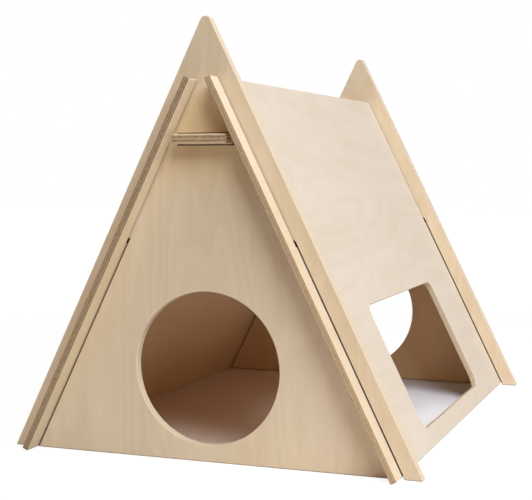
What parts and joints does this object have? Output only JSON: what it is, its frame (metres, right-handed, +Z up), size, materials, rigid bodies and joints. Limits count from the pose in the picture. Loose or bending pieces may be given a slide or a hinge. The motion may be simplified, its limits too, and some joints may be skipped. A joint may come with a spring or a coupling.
{
  "type": "rodent house",
  "caption": "A-frame plywood house for small pets: slotted roof panels on triangular end panels with round doorways, a side window and a tie plate under the ridge.",
  "frame": {"origin": "on the floor under the middle of the house", "axes": "+X towards the side with the window, -Y towards the front, +Z up"},
  "size_m": [0.3988, 0.53, 0.4002],
  "materials": {
    "end_ply": "sanded bare birch plywood",
    "roof_ply": "sanded bare birch plywood",
    "plate_ply": "sanded bare birch plywood"
  },
  "bodies": {
    "left_roof": {"left_roof_panel": "roof_ply"},
    "end_panels": {"front_panel": "end_ply", "back_panel": "end_ply"},
    "right_roof": {"right_roof_panel": "roof_ply"},
    "tie_plate": {"tie_plate": "plate_ply"}
  },
  "joints": [
    {"name": "end_panels_lift", "type": "slide", "parent": "left_roof", "child": "end_panels", "axis": [0.4415, 0, 0.8973], "range_m": [0, 0.2218]},
    {"name": "right_roof_slide", "type": "slide", "parent": "end_panels", "child": "right_roof", "axis": [0.4415, 0, -0.8973], "range_m": [0, 0.2218]},
    {"name": "plate_slide", "type": "slide", "parent": "end_panels", "child": "tie_plate", "axis": [0, -1, 0], "range_m": [-0.507, 0.507]}
  ],
  "couplings": [
    {"joint": "right_roof_slide", "follows": "end_panels_lift", "ratio": 1}
  ]
}
